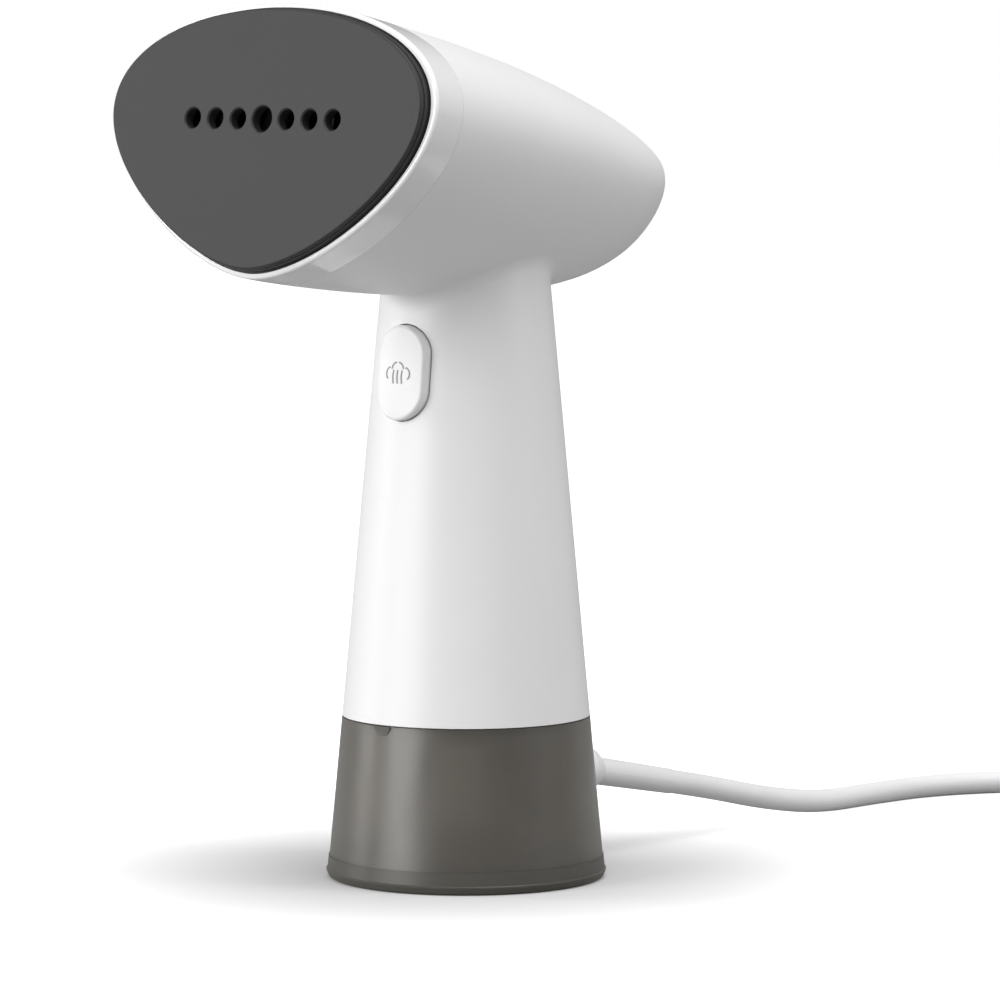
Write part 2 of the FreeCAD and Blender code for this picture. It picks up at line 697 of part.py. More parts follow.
def trigger_button():
    """Pill-shaped button whose face follows the handle, with stem and two hooks."""
    centre, half = mm("button_height"), mm("button_half_width")
    length, proud = mm("button_half_length"), mm("button_proud")
    body = pill(half, length, -40, -19)
    body = body.common(cone_solid(centre - 20, centre + 20, proud))
    body = body.makeFillet(0.9, [edge for edge in body.Edges if on_cone(edge, proud)])
    body = body.cut(pill(half - 1.6, length - 1.6, -24, -18))
    upper = block((-3.5, -20.2, centre + length - 1.5), (3.5, -19, centre + length + 1.3))
    lower = block((-3.5, -22.7, centre - length - 1.3), (3.5, -21, centre - length + 1.5))
    stem = rod((0, -24.5, centre), Y, mm("stem_radius"), 15.5)
    return body.fuse([upper, lower, stem])


def trigger_frame():
    """Bracket with the bush that the trigger's stem slides in."""
    centre, half, leg = S("button_height"), 11, 9.2
    solid = [box_at("bracket_plate", (-half, -13.5, centre - 16), (half, -11.5, centre + 16)),
             rod_at("bracket_bush", (0, -15.5, centre), (0, 1, 0), 5.0, 6.0)]
    for side, left, right in (("left", -half, -leg), ("right", leg, half)):
        for end, low in (("low", centre - 16), ("high", centre + 12)):
            solid.append(box_at(f"bracket_leg_{side}_{end}", (left, -12, low), (right, 14, low + 4)))
    bore = rod_at("bracket_bore", (0, -16, centre), (0, 1, 0), S("stem_radius") + S("running_fit"), 8)
    return without("trigger_frame", united("bracket_solid", solid), [bore])


def coil_spring(start, direction, mean_radius, wire, length, turns):
    """Compression spring as a swept helix."""
    helix = Part.makeHelix(length / turns, length, mean_radius)
    ring = Part.Wire(Part.makeCircle(wire, V(mean_radius, 0, 0), Y))
    spring = Part.Wire(helix).makePipeShell([ring], True, True)
    return spring, FreeCAD.Placement(V(*start), FreeCAD.Rotation(Z, V(*direction)))


def pump_frame():
    """Steel yoke round the coil."""
    plate = box_at("yoke_block", (-10, -12, 68.4), (10, 14, 95.6))
    window = box_at("yoke_window", (-11, -13, 70), (11, 12.4, 94))
    bore = rod_at("yoke_bore", (0, 0, 60), (0, 0, 1), S("pump_radius") + 0.02, 50)
    return without("pump_frame", plate, [window, bore])


SWITCH_TAGS = (-8, -1, 6)     # lower end of each tag, from the button's height


def microswitch():
    """Switch with a well for its plunger."""
    centre = S("button_height")
    case = box_at("switch_case", (-3.3, -7, centre - 9), (3.3, -1, centre + 9))
    well = box_at("switch_well", (-1.35, -8, centre - 2.15), (1.35, -3, centre + 2.15))
    return without("microswitch", case, [well])


def switch_tags():
    centre = S("button_height")
    return united("switch_tags", [
        box_at(f"switch_tag_{index}", (-0.4, -1, centre + low), (0.4, 0.6, centre + low + 2.2))
        for index, low in enumerate(SWITCH_TAGS)])


def control_board():
    """Board with its screw holes and the slots that the switch's tags go through."""
    centre = S("button_height")
    holes = [rod_at(f"board_hole_{index}", (-6, -2, height), (0, 1, 0), 1.2, 4)
             for index, height in enumerate(BOARD_SCREWS)]
    holes += [box_at(f"board_slot_{index}", (-0.5, -2, centre + low - 0.1), (0.5, 2, centre + low + 2.3))
              for index, low in enumerate(SWITCH_TAGS)]
    return without("control_board", box_at("board_blank", (-8.7, -1, 119), (8.7, 0.6, 152)), holes)


def board_parts():
    """Relay and capacitor on the back of the board."""
    relay = box_at("relay", (-8, 0.6, 129), (1, 9, 144))
    capacitor = rod_at("capacitor", (-3.5, 0.6, 121.5), (0, 1, 0), 2.0, 8)
    return united("board_parts", [relay, capacitor])


# ---------------------------------------------------------------- the mains lead
def cord_sleeve():
    """Collar and tapered sleeve, about the lead's own drooping axis."""
    reach, cord = S("sleeve_length"), S("cord_radius")
    collar = S("gland_radius")
    points = [(0, -9.0), (3.3, -9.0), (3.3, collar * -0.8), (collar * 0.6, collar * -0.8),
              (collar * 0.91, collar * -0.4), (collar, 0), (collar * 0.91, collar * 0.4),
              (collar * 0.72, collar * 0.7), (cord + 0.55, collar * 0.92), (cord + 0.2, reach), (0, reach)]
    return points


def gland_placement():
    """Collar's centre, with Z along the lead as it leaves."""
    centre = V(0, mm("gland_back"), mm("gland_height"))
    droop = math.radians(mm("gland_droop"))
    return FreeCAD.Placement(centre, FreeCAD.Rotation(Z, V(0, math.cos(droop), -math.sin(droop))))


def cord_route():
    """Hand-laid points of the lead from the sleeve's end to the stored coil."""
    floor = mm("cord_radius")
    start = gland_placement().multVec(V(0, 0, mm("sleeve_length")))
    return [(start.x, start.y, start.z), (0, 102, 12.98), (0.4, 125, 7.6), (0, 151, 3.5), (-1, 178, floor),
            (1.5, 203, floor), (14, 226, floor), (38, 244, floor), (70, 255, floor)]


COIL_ENTRY = 109.5            # degrees round the coil, from +X, where the lead runs in
COIL_EXIT = 0.0               # degrees where its end runs out
TAIL_DROP = (16.3, 14.8, 12.2)  # heights of the tail's three points


def coil_centre():
    """The coil is wound clockwise, so that the lead runs in along its tangent."""
    entry, radius = math.radians(COIL_ENTRY), mm("coil_radius")
    last = cord_route()[-1]
    return last[0] - radius * math.cos(entry), last[1] - radius * math.sin(entry)


def tail_route():
    """The lead's end, from the coil's top layer down to the plug."""
    across, back = coil_centre()
    turn, radius = math.radians(COIL_EXIT), mm("coil_radius")
    start = V(across + radius * math.cos(turn), back + radius * math.sin(turn), 0)
    heading = V(math.sin(turn), -math.cos(turn), 0)
    aside = V(heading.y, -heading.x, 0)
    places = [start, start + heading * 21 + aside * 0.8, start + heading * 42]
    return [(place.x, place.y, drop) for place, drop in zip(places, TAIL_DROP)], heading


def free_tube(name, points):
    """A stretch of free lead; prints its bend radii and compares its volume."""
    radii = []
    path = bent_path([V(*point) for point in points], route_radius, radii)
    tube = sweep(path, mm("cord_radius"))
    expected = math.pi * mm("cord_radius") ** 2 * path.Length
    print(name, "length", round(path.Length, 1), "radii", [round(radius) for radius in radii],
          "volume ratio", round(tube.Volume / expected, 4))
    return tube


def plug_placement():
    points, heading = tail_route()
    end = points[-1]
    turn = FreeCAD.Rotation(V(-heading.y, heading.x, 0), Z, heading, "ZXY")
    return FreeCAD.Placement(V(*end), turn)


def oval(half_wide, half_thick, depth, power=2.6):
    """A rounded oval ring of the plug's body."""
    points = []
    for step in range(24):
        turn = 2 * math.pi * step / 24
        cosine, sine = math.cos(turn), math.sin(turn)
        points.append(V(half_wide * math.copysign(abs(cosine) ** (2 / power), cosine),
                        half_thick * math.copysign(abs(sine) ** (2 / power), sine), depth))
    curve = Part.BSplineCurve()
    curve.interpolate(Points=points, PeriodicFlag=True)
    return Part.Wire(curve.toShape())


def plug_body():
    wide, thick = mm("plug_half_width"), mm("plug_half_thick")
    rings = [oval(4.0, 4.0, 0, 2), oval(5.0, 4.8, 12, 2), oval(8.0, 6.6, 21, 2.2), oval(14.0, 10.0, 28),
             oval(wide - 0.6, thick - 0.5, 38), oval(wide, thick, 50), oval(wide, thick, 56)]
    body = Part.makeLoft(rings, True, False, False)
    half = mm("pin_spacing") / 2
    for side in (-1, 1):
        body = body.cut(rod((side * half, 0, 44), Z, mm("pin_radius") + 0.02, 20))
    return body


# ---------------------------------------------------------------- the document's pieces
PIECES = []


def keep(feature):
    PIECES.append(feature)
    return feature


def build_casings():
    keep(shaped("main_housing", main_housing()))
    keep(shaped("rear_cover", rear_cover()))
    keep(shaped("front_bezel", front_bezel(), HEAD))
    keep(shaped("base_cap", base_cap()))
    keep(shaped("tank_seal", tank_seal()))
    seats = [(0, radius - 1.2, height) for height, radius in cover_screw_seats()]
    keep(shaped("cover_screws", screws(seats, 2.7, 1.1, 1.3, 9.0, (0, -1, 0))))
    heads = [(across, 11.5, mm("split_height") + mm("fit_gap") + 0.2) for across in CAP_SCREWS]
    keep(shaped("cap_screws", screws(heads, 2.5, 1.6, 1.3, 6.5, (0, 0, 1))))


def draw_shield(sketch):
    """Six-sided sheet with a hole for the water inlet's hose."""
    add_outline(sketch, [(-30, 17), (30, 17), (34, 4), (20, -20), (-20, -20), (-34, 4)])
    add_circle(sketch, 0, 12, 4.0)


def build_steam_head():
    keep(shaped("steam_plate", steam_plate(), HEAD))
    keep(shaped("plate_gasket", plate_gasket(), HEAD))
    keep(shaped("chamber_seal", chamber_seal(), HEAD))
    keep(shaped("steam_chamber", steam_chamber(), HEAD))
    keep(shaped("chamber_frame", chamber_frame(), HEAD))
    ears = [(across, up, -14.2) for across, up in CHAMBER_EARS]
    keep(shaped("chamber_screws", screws(ears, 2.5, 1.6, 1.3, 4.4, (0, 0, 1)), HEAD))
    frame_back = [(across, up, -12.1) for across, up in BEZEL_SCREWS]
    keep(shaped("bezel_screws", screws(frame_back, 2.2, 1.5, 1.3, 3.9, (0, 0, 1)), HEAD))
    keep(shaped("heating_element", heating_element(), HEAD))
    pins = [rod_at(f"heater_pin_{side}", (across, 14.0, -27.2), (0, 1, 0), 1.4, 6.5, HEAD)
            for side, across in (("left", -22.0), ("right", 22.0))]
    keep(united("heater_pins", pins))
    thermostat = turned("thermostat", [(0, 0), (8.0, 0), (8.0, 3.0), (6.6, 3.6), (6.6, 8.5), (0, 8.5)],
                        HEAD.multiply(FreeCAD.Placement(V(0, -4, -24), FreeCAD.Rotation(X, 180))))
    keep(thermostat)
    fuse = turned("thermal_fuse",
                  [(0, -6), (1.0, -6), (1.0, -5), (2.1, -5), (2.1, 5), (1.0, 5), (1.0, 6), (0, 6)],
                  HEAD.multiply(FreeCAD.Placement(V(-30, 2, -26.2), FreeCAD.Rotation(X, 90))))
    keep(fuse)
    nozzle = turned("water_inlet", [(1.4, 0), (3.4, 0), (3.4, 3.0), (2.0, 3.0), (2.0, 6.0), (1.4, 6.0)],
                    HEAD.multiply(FreeCAD.Placement(V(0, 13, -24), FreeCAD.Rotation(X, 180))))
    keep(nozzle)
    behind = HEAD.multiply(FreeCAD.Placement(V(0, 0, -36.6), TURN_NONE))
    keep(extruded("heat_shield", draw_shield, 0.6, behind))


def build_pump():
    outer, bore = S("pump_radius"), S("plunger_radius") + S("running_fit")
    keep(turned("pump_body", [(1.2, 60), (2.0, 60), (2.0, 65), (outer, 65), (outer, 106), (2.0, 106),
                              (2.0, 112), (1.2, 112), (1.2, 104), (bore, 104), (bore, 68), (1.2, 68)]))
    keep(turned("pump_coil", [(outer + 0.1, 70.2), (11.8, 70.2), (11.8, 93.8), (outer + 0.1, 93.8)]))
    keep(pump_frame())
    plunger = S("plunger_radius")
    keep(turned("pump_plunger", [(1.0, 70), (plunger, 70), (plunger, 92), (1.0, 92)]))
    keep(shaped("pump_spring", *coil_spring((0, 0, 92.5), (0, 0, 1), 2.3, 0.3, 11.0, 6)))
    keep(shaped("inlet_hose", inlet_hose()))
    keep(shaped("outlet_hose", outlet_hose()))
    keep(shaped("suction_hose", suction_hose()))
    bottom = (0, SUCTION_PORT - 6.2, mm("split_height") - 28)
    weight = turned("suction_weight", [(0, -6.5), (3.2, -6.5), (3.6, -5.5), (3.6, -1.0), (2.6, 0), (0, 0)],
                    FreeCAD.Placement(V(*bottom), FreeCAD.Rotation()))
    keep(weight)


def build_controls():
    keep(chassis())
    keep(trigger_frame())
    keep(shaped("trigger_button", trigger_button()))
    keep(shaped("trigger_spring", *coil_spring((0, -23.6, mm("button_height")), (0, 1, 0),
                                                   4.1, 0.35, 7.7, 5)))
    keep(microswitch())
    keep(switch_tags())
    centre = S("button_height")
    keep(box_at("switch_plunger", (-1.2, -8.95, centre - 2), (1.2, -5, centre + 2)))
    keep(control_board())
    keep(board_parts())
    places = [(-6, -1, height) for height in BOARD_SCREWS]
    keep(shaped("board_screws", screws(places, 2.1, 1.3, 1.0, 8.0, (0, 1, 0))))
    keep(shaped("heater_leads", heater_leads()))
    keep(shaped("inner_lead", inner_lead()))


def build_tank():
    keep(shaped("tank_shell", tank_shell()))
    seam, foot, ring = S("tank_seam"), S("foot_radius"), S("foot_ring")
    inside = cone_size(S("tank_seam")) - S("tank_wall") - 0.05
    outer = [(foot - 1.3, 0), (foot - 0.7, 0.35), (foot - 0.05, ring - 0.35), (foot, ring),
             (foot - 0.35, ring + 0.25), (foot - 0.65, seam)]
    tongue = [(inside, seam), (inside - 0.25, seam + 2.2), (inside - 1.6, seam + 2.2), (inside - 1.6, 2.6)]
    keep(turned("tank_base", [(0, 0)] + outer + tongue + [(0, 2.6)]))


def build_lead():
    keep(turned("cord_gland", cord_sleeve(), gland_placement()))
    keep(shaped("cord_tube", free_tube("cord_tube", cord_route())))
    across, back = coil_centre()
    radius, cord, height = S("coil_radius"), S("cord_radius"), S("coil_height")
    outside, inside = radius + cord, radius - cord * 5
    keep(turned("cord_coil", [(inside, 2.0), (inside + 2.0, 0), (outside - 2.0, 0), (outside, 2.0),
                              (outside, height - 2.0), (outside - 2.0, height), (inside + 2.0, height),
                              (inside, height - 2.0)],
                FreeCAD.Placement(V(across, back, 0), FreeCAD.Rotation())))
    keep(shaped("cord_tail", free_tube("cord_tail", tail_route()[0])))
    keep(shaped("plug_body", plug_body(), plug_placement()))
    half = mm("pin_spacing") / 2
    place = plug_placement()
    pins = [rod_at(f"plug_pin_{index}", (side * half, 0, 46), (0, 0, 1), S("pin_radius"), 29.0, place)
            for index, side in enumerate((-1, 1))]
    keep(united("plug_pins", pins))


def check_document():
    doc.recompute()
    for item in doc.Objects:
        if {"Invalid", "Error"} & set(item.State):
            raise RuntimeError(f"{item.Name} failed: {item.State}")
    for piece in PIECES:
        if piece.Shape.isNull() or not piece.Shape.isValid():
            raise RuntimeError(f"{piece.Label} has no valid shape")
        print(f"{piece.Label:18} {len(piece.Shape.Solids):2} solids {piece.Shape.Volume / 1000:8.2f} cm3")


def write_steps():
    os.makedirs("parts", exist_ok=True)
    for piece in PIECES:
        piece.Shape.exportStep(f"parts/{piece.Label}.step")


build_casings()
build_steam_head()
build_pump()
build_controls()
build_tank()
build_lead()
check_document()
write_steps()
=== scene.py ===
"""Handheld garment steamer on a white table: lead, springs, sign, finishes, light and camera.

Metres, +Z up. The soleplate faces -Y and the mains lead leaves towards +Y.
"""
import math

import bmesh
import bpy
from mathutils import Matrix, Vector


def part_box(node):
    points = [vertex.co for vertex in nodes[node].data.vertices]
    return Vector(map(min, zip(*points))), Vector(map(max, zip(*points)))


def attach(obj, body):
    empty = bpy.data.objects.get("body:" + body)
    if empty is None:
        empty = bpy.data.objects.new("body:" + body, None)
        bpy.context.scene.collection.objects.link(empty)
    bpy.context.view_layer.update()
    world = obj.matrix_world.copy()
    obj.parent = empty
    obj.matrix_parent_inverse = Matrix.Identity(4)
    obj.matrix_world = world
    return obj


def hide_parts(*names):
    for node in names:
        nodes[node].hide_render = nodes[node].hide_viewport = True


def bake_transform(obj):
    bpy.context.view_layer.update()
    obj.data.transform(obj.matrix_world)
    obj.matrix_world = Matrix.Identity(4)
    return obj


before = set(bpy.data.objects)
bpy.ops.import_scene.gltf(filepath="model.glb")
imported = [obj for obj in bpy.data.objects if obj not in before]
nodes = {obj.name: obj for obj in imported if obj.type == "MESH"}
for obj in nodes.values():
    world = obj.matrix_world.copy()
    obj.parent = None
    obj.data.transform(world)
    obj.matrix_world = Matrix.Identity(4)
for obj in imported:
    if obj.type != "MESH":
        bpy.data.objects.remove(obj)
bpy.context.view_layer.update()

MM = 0.001
ROOM_LIGHT = 0.30             # even light from all round
TABLE_RADIUS, TABLE_DROP = 4.0, 0.0001
TABLE_LIT, TABLE_SEEN = 0.30, 0.60    # how white the table is to the light, and to the camera
NEAR_GLOW, FAR_GLOW = 0.06, 1.0       # keeps the table white where the lamps don't reach; the weak glow near the object is painted shadow round the foot
NEAR, FAR = 0.03, 0.19                # metres from the object's middle, where each of those two holds
NOISE_LOW, NOISE_HIGH = 0.3, 0.7      # nearly all of a noise's values lie between these


# ---------------------------------------------------------------- camera
def add_camera():
    """A long lens, 41 degrees to the side of the soleplate, that looks slightly down."""
    turn, pitch = math.radians(41.08), math.radians(4.824)
    right = Vector((math.cos(turn), math.sin(turn), 0))
    back = Vector((math.sin(turn), -math.cos(turn), 0))
    ahead = -back * math.cos(pitch) - Vector((0, 0, math.sin(pitch)))
    up = right.cross(ahead)
    distance, aside, height = 1.4818, 0.008926, 0.22442
    data = bpy.data.cameras.new("camera")
    data.lens, data.sensor_width = 203.71, 36.0
    camera = bpy.data.objects.new("camera", data)
    place = Matrix.Translation(back * distance + right * aside + Vector((0, 0, height)))
    camera.matrix_world = place @ Matrix((right, up, -ahead)).transposed().to_4x4()
    bpy.context.scene.collection.objects.link(camera)
    bpy.context.scene.camera = camera
    bpy.context.scene.view_settings.view_transform = "Standard"


# ---------------------------------------------------------------- the mains lead
LEAD = 0.0065
LEAD_ROUTE = [
    (0, 0.08431, 0.01641), (0, 0.102, 0.01298), (0.0004, 0.125, 0.0076), (0, 0.151, 0.0035),
    (-0.001, 0.178, 0.00325), (0.0015, 0.203, 0.00325), (0.014, 0.226, 0.00325),
    (0.038, 0.244, 0.00325), (0.070, 0.255, 0.00325),
]
LEAD_END = [(0.12922, 0.19158, 0.0148), (0.13002, 0.17058, 0.0122)]
COIL_RADIUS = 0.045
ENTRY_DEGREES = 109.5                 # where the lead runs into the coil, from +X
COIL_ENTRY = math.radians(ENTRY_DEGREES)
COIL_TURNS = 6 + ENTRY_DEGREES / 360  # wound clockwise; it leaves again at 0 degrees
COIL_STEPS = 24                       # points a turn
# Where the lead changes lane: turns from the entry, lanes outwards, layers up.
LANE_CHANGES = [(0.65, -1, 0), (1.65, -1, 0), (2.55, 0, 1), (3.45, 1, 0), (4.45, 1, 0), (5.35, 0, 1)]
CHANGE_TURNS = 0.35


def eased(share):
    share = min(max(share, 0.0), 1.0)
    return share * share * (3 - 2 * share)


def coil_point(centre, turns):
    """A lead that has run this many turns; each lane is left before it is needed again."""
    lane = layer = 0.0
    for start, outwards, up in LANE_CHANGES:
        done = eased((turns - start) / CHANGE_TURNS)
        lane += outwards * done
        layer += up * done
    angle = COIL_ENTRY - 2 * math.pi * turns
    radius = (COIL_RADIUS + lane * LEAD) / math.cos(math.pi / COIL_STEPS)
    return (centre[0] + radius * math.cos(angle), centre[1] + radius * math.sin(angle),
            LEAD / 2 + layer * LEAD)


def lead_points():
    last = LEAD_ROUTE[-1]
    centre = (last[0] - COIL_RADIUS * math.cos(COIL_ENTRY), last[1] - COIL_RADIUS * math.sin(COIL_ENTRY))
    count = int(COIL_TURNS * COIL_STEPS)
    turns = [(step + 1) / COIL_STEPS for step in range(count)]
    coil = [coil_point(centre, amount) for amount in turns]
    return LEAD_ROUTE + coil + LEAD_END


def add_lead():
    """One smooth line from the sleeve, along the table, round the coil and into the plug."""
    curve = bpy.data.curves.new("mains_lead", "CURVE")
    curve.dimensions = "3D"
    curve.resolution_u = 6
    curve.bevel_depth = 1.0           # times each point's radius
    curve.bevel_resolution = 6
    curve.use_fill_caps = True
    spline = curve.splines.new("NURBS")
    points = lead_points()
    spline.points.add(len(points) - 1)
    for control, place in zip(spline.points, points):
        control.co = (*place, 1.0)
        control.radius = LEAD / 2
    spline.order_u = 3
    spline.use_endpoint_u = True
    lead = bpy.data.objects.new("mains_lead", curve)
    bpy.context.scene.collection.objects.link(lead)
    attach(lead, "handle")
    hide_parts("cord_tube", "cord_coil", "cord_tail")
    return lead


# ---------------------------------------------------------------- materials
def add_noise(tree, scale, detail=3.0, stretch=(1, 1, 1)):
    """Noise in the object's own coordinates; scale is grains per metre."""
    place = tree.nodes.new("ShaderNodeTexCoord")
    mapping = tree.nodes.new("ShaderNodeMapping")
    mapping.inputs["Scale"].default_value = stretch
    noise = tree.nodes.new("ShaderNodeTexNoise")
    noise.inputs["Scale"].default_value = scale
    noise.inputs["Detail"].default_value = detail
    tree.links.new(place.outputs["Object"], mapping.inputs["Vector"])
    tree.links.new(mapping.outputs["Vector"], noise.inputs["Vector"])
    return noise.outputs["Fac"]


def add_ramp(tree, source, first, second, low=0.35, high=0.65):
    ramp = tree.nodes.new("ShaderNodeValToRGB")
    ramp.color_ramp.elements[0].position = low
    ramp.color_ramp.elements[1].position = high
    ramp.color_ramp.elements[0].color = (*first, 1)
    ramp.color_ramp.elements[1].color = (*second, 1)
    tree.links.new(source, ramp.inputs["Fac"])
    return ramp.outputs["Color"]


def add_range(tree, source, low, high):
    span = tree.nodes.new("ShaderNodeMapRange")
    span.inputs["From Min"].default_value = NOISE_LOW
    span.inputs["From Max"].default_value = NOISE_HIGH
    span.inputs["To Min"].default_value = low
    span.inputs["To Max"].default_value = high
    tree.links.new(source, span.inputs["Value"])
    return span.outputs["Result"]


def add_bump(tree, shader, source, depth, strength=1.0):
    bump = tree.nodes.new("ShaderNodeBump")
    bump.inputs["Distance"].default_value = depth
    bump.inputs["Strength"].default_value = strength
    tree.links.new(source, bump.inputs["Height"])
    tree.links.new(bump.outputs["Normal"], shader.inputs["Normal"])


def surface(name, colour, rough, shade=0.03, mottle=45.0, grain=2500.0, depth=0.00001,
            uneven=0.03, stretch=(1, 1, 1), **sockets):
    """A moulded, cast or drawn surface: faint mottling, uneven gloss and a fine grain.

    shade is how much darker the mottling goes and uneven how far the roughness strays. mottle and
    grain are grains per metre, and depth is the grain's height in metres.
    """
    material = bpy.data.materials.new(name)
    material.use_nodes = True
    tree = material.node_tree
    shader = tree.nodes["Principled BSDF"]
    broad = add_noise(tree, mottle, stretch=stretch)
    darker = [channel * (1 - shade) for channel in colour]
    tree.links.new(add_ramp(tree, broad, darker, colour), shader.inputs["Base Color"])
    tree.links.new(add_range(tree, broad, rough - uneven, rough + uneven), shader.inputs["Roughness"])
    add_bump(tree, shader, add_noise(tree, grain, 2.0, stretch), depth)
    for socket, amount in sockets.items():
        shader.inputs[socket.replace("_", " ")].default_value = amount
    return material


def ceramic():
    """Dark grey soleplate coating with fine lighter specks."""
    material = surface("ceramic_plate", (0.037, 0.037, 0.038), 0.45, 0.06, 30.0, 4000.0, 0.000006, 0.03,
                       Specular_IOR_Level=0.22)
    tree = material.node_tree
    shader = tree.nodes["Principled BSDF"]
    base = shader.inputs["Base Color"].links[0].from_socket
    specks = add_ramp(tree, add_noise(tree, 3200.0, 1.0), (0, 0, 0), (1, 1, 1), 0.66, 0.74)
    mix = tree.nodes.new("ShaderNodeMix")
    mix.data_type = "RGBA"
    colours = [socket for socket in mix.inputs if socket.type == "RGBA"]
    tree.links.new(specks, mix.inputs["Factor"])
    tree.links.new(base, colours[0])
    colours[1].default_value = (0.045, 0.045, 0.047, 1)
    result = [socket for socket in mix.outputs if socket.type == "RGBA"][0]
    tree.links.new(result, shader.inputs["Base Color"])
    return material


def winding():
    """Varnished copper wire wound in close turns."""
    material = surface("copper_coil", (0.62, 0.24, 0.09), 0.3, 0.2, 120.0, Metallic=1.0)
    tree = material.node_tree
    shader = tree.nodes["Principled BSDF"]
    place = tree.nodes.new("ShaderNodeTexCoord")
    wave = tree.nodes.new("ShaderNodeTexWave")
    wave.bands_direction = "Z"
    wave.inputs["Scale"].default_value = 700.0
    wave.inputs["Distortion"].default_value = 0.3
    tree.links.new(place.outputs["Object"], wave.inputs["Vector"])
    add_bump(tree, shader, wave.outputs["Fac"], 0.00015)
    return material


def make_materials():
    return {
        "white_casing": surface("white_casing", (0.80, 0.80, 0.80), 0.42, 0.012, 25.0, 3000.0, 0.000005,
                                Subsurface_Weight=0.05, Subsurface_Radius=(0.002, 0.002, 0.002)),
        "white_gloss": surface("white_gloss", (0.83, 0.83, 0.83), 0.12, 0.01, 25.0, 900.0, 0.000002, 0.02,
                               Coat_Weight=0.5, Coat_Roughness=0.05),
        "ceramic_plate": ceramic(),
        "smoked_tank": surface("smoked_tank", (0.46, 0.43, 0.385), 0.30, 0.05, 30.0, 1800.0, 0.00001, 0.03,
                               Transmission_Weight=0.88, IOR=1.45, Coat_Weight=0.5, Coat_Roughness=0.42),
        "smoked_base": surface("smoked_base", (0.20, 0.188, 0.165), 0.34, 0.05, 30.0, 1800.0, 0.00001, 0.03,
                               Transmission_Weight=0.6, IOR=1.45),
        "black_rubber": surface("black_rubber", (0.02, 0.02, 0.02), 0.62, 0.3, 200.0, 4000.0, 0.00002, 0.06),
        "clear_silicone": surface("clear_silicone", (0.62, 0.61, 0.57), 0.3, 0.08, 150.0, 2500.0, 0.00001,
                                  Transmission_Weight=0.55, IOR=1.41),
        "cast_aluminium": surface("cast_aluminium", (0.58, 0.59, 0.60), 0.48, 0.15, 300.0, 1800.0, 0.00008,
                                  0.08, Metallic=1.0),
        "dark_enamel": surface("dark_enamel", (0.022, 0.022, 0.023), 0.7, 0.2, 250.0, 2000.0, 0.00003, 0.05),
        "dark_frame": surface("dark_frame", (0.045, 0.045, 0.048), 0.5, 0.15, 90.0, 2500.0, 0.00002, 0.06),
        "grey_frame": surface("grey_frame", (0.34, 0.34, 0.35), 0.5, 0.06, 60.0, 2500.0, 0.00002, 0.05),
        "steel": surface("steel", (0.60, 0.60, 0.61), 0.28, 0.1, 500.0, 2000.0, 0.00001, 0.08,
                         (1, 1, 6), Metallic=1.0),
        "brass": surface("brass", (0.72, 0.50, 0.20), 0.26, 0.12, 400.0, 2000.0, 0.00001, 0.06,
                         (1, 1, 6), Metallic=1.0),
        "copper_coil": winding(),
        "board_green": surface("board_green", (0.03, 0.20, 0.08), 0.32, 0.35, 420.0, 1500.0, 0.00002, 0.06,
                               Coat_Weight=0.6, Coat_Roughness=0.15),
        "relay_blue": surface("relay_blue", (0.05, 0.14, 0.42), 0.36, 0.1, 120.0, 2500.0, 0.00001, 0.05),
        "lead_white": surface("lead_white", (0.83, 0.83, 0.83), 0.46, 0.03, 60.0, 1500.0, 0.00001, 0.04),
        "lead_inner": surface("lead_inner", (0.55, 0.55, 0.54), 0.5, 0.05, 90.0, 2000.0, 0.00001, 0.05),
    }


# ---------------------------------------------------------------- the trigger's steam sign
# Half of the sign, in millimetres from its middle; it is the same on both sides.
SIGN_ARCS = [
    [(3.35, -1.5), (3.85, -0.9), (4.0, -0.1), (3.75, 0.75), (3.2, 1.3), (2.65, 1.5)],
    [(2.0, 1.1), (1.75, 1.9), (1.15, 2.55), (0.4, 2.85)],
]
STREAMS = (-1.45, 0.0, 1.45)  # the wavy streams of steam, from side to side
STREAM_TOP, STREAM_STEP, STREAM_POINTS = 0.8, 0.5, 8
WAVE_WIDTH, WAVE_RATE = 0.1, 1.8
SIGN_STROKE = 0.2             # half the width of a stroke
SIGN_PROUD, SIGN_ROOT = 0.05, -0.3    # how far a stroke stands out of the face and reaches into it
SIGN_MIDDLE = 134.0 * MM      # height of the sign's middle
FACE_SLOPE = 0.0917           # how much the face's radius shrinks for each metre of height
FACE_WIDEST = 0.1             # where it stands furthest forward, as a share of the trigger's height


def sign_lines():
    lines = list(SIGN_ARCS)
    lines += [[(-across, up) for across, up in arc] for arc in SIGN_ARCS]
    heights = [STREAM_TOP - STREAM_STEP * step for step in range(STREAM_POINTS)]
    for across in STREAMS:
        lines.append([(across + WAVE_WIDTH * math.sin(WAVE_RATE * height), height) for height in heights])
    return lines


